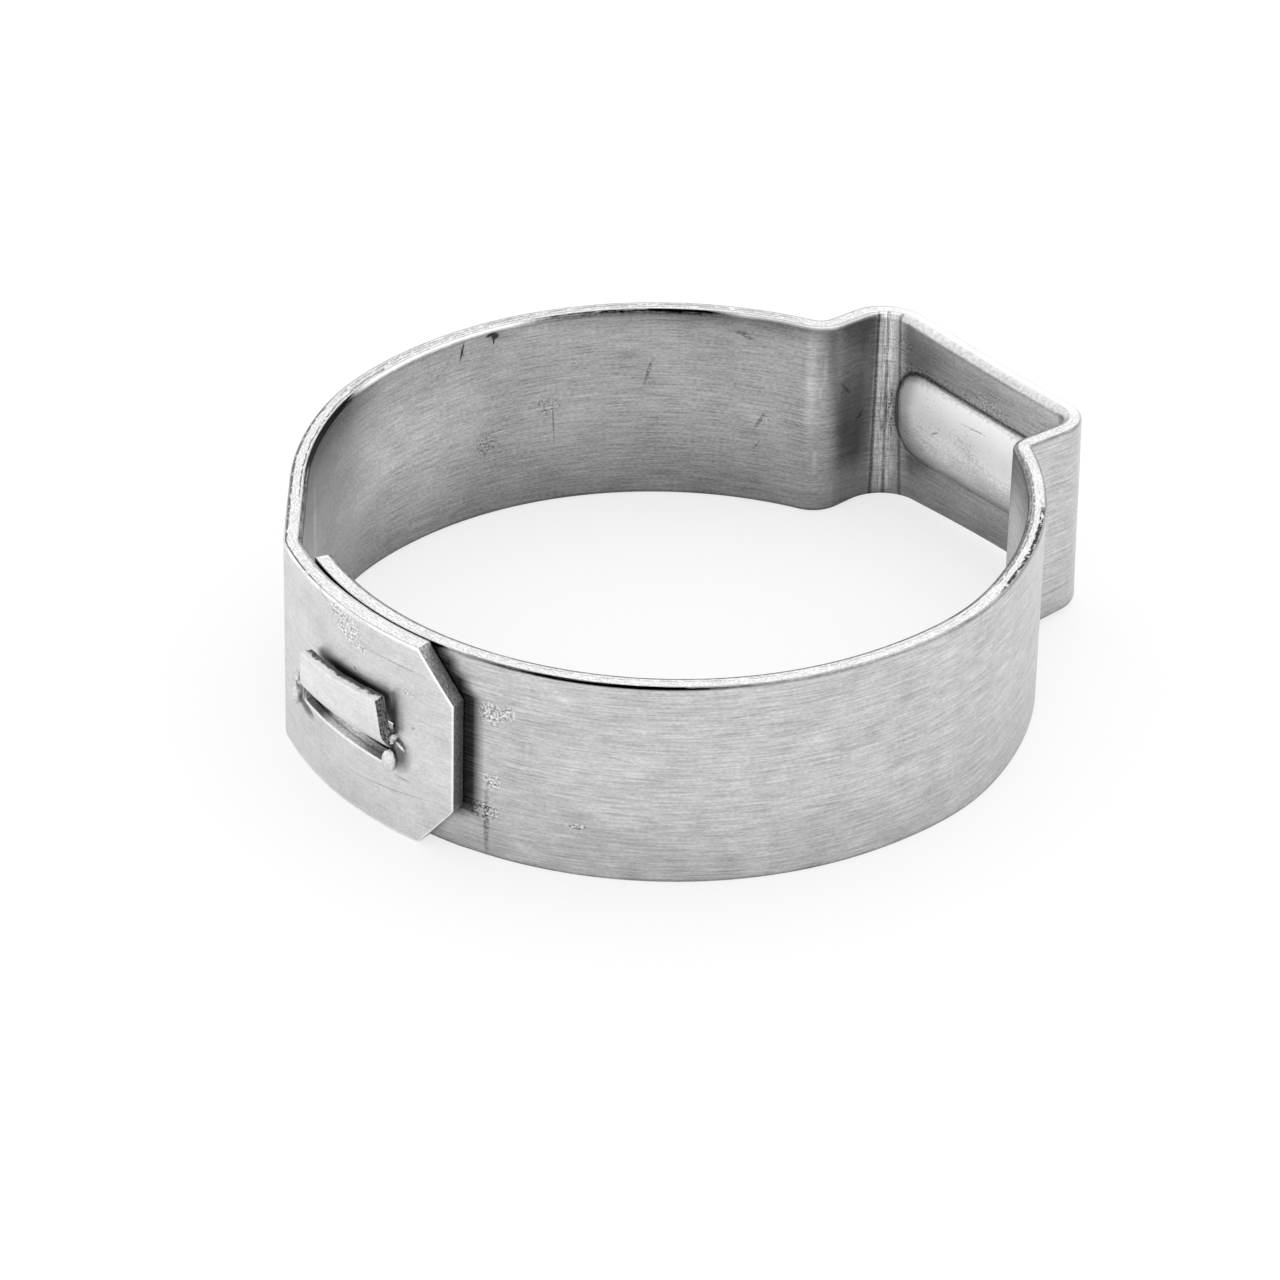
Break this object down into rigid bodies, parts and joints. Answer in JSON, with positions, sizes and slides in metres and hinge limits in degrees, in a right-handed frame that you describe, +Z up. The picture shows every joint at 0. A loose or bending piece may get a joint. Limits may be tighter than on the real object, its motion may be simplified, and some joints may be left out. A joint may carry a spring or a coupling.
{
  "type": "ear hose clamp",
  "caption": "Steel strip bent into a ring and hooked to itself by a tongue through a slot, with a folded ear that is pinched to tighten it round a hose.",
  "frame": {"origin": "on the ring's axis, in the plane of the strip's lower edge", "axes": "+Z up along the ring's axis, +Y from the axis towards the ear, the lock at -Y"},
  "size_m": [0.0238, 0.027, 0.007],
  "materials": {
    "steel": "brushed along the strip, with fine scuffs"
  },
  "bodies": {
    "root": {"clamp_band": "steel"}
  },
  "joints": []
}
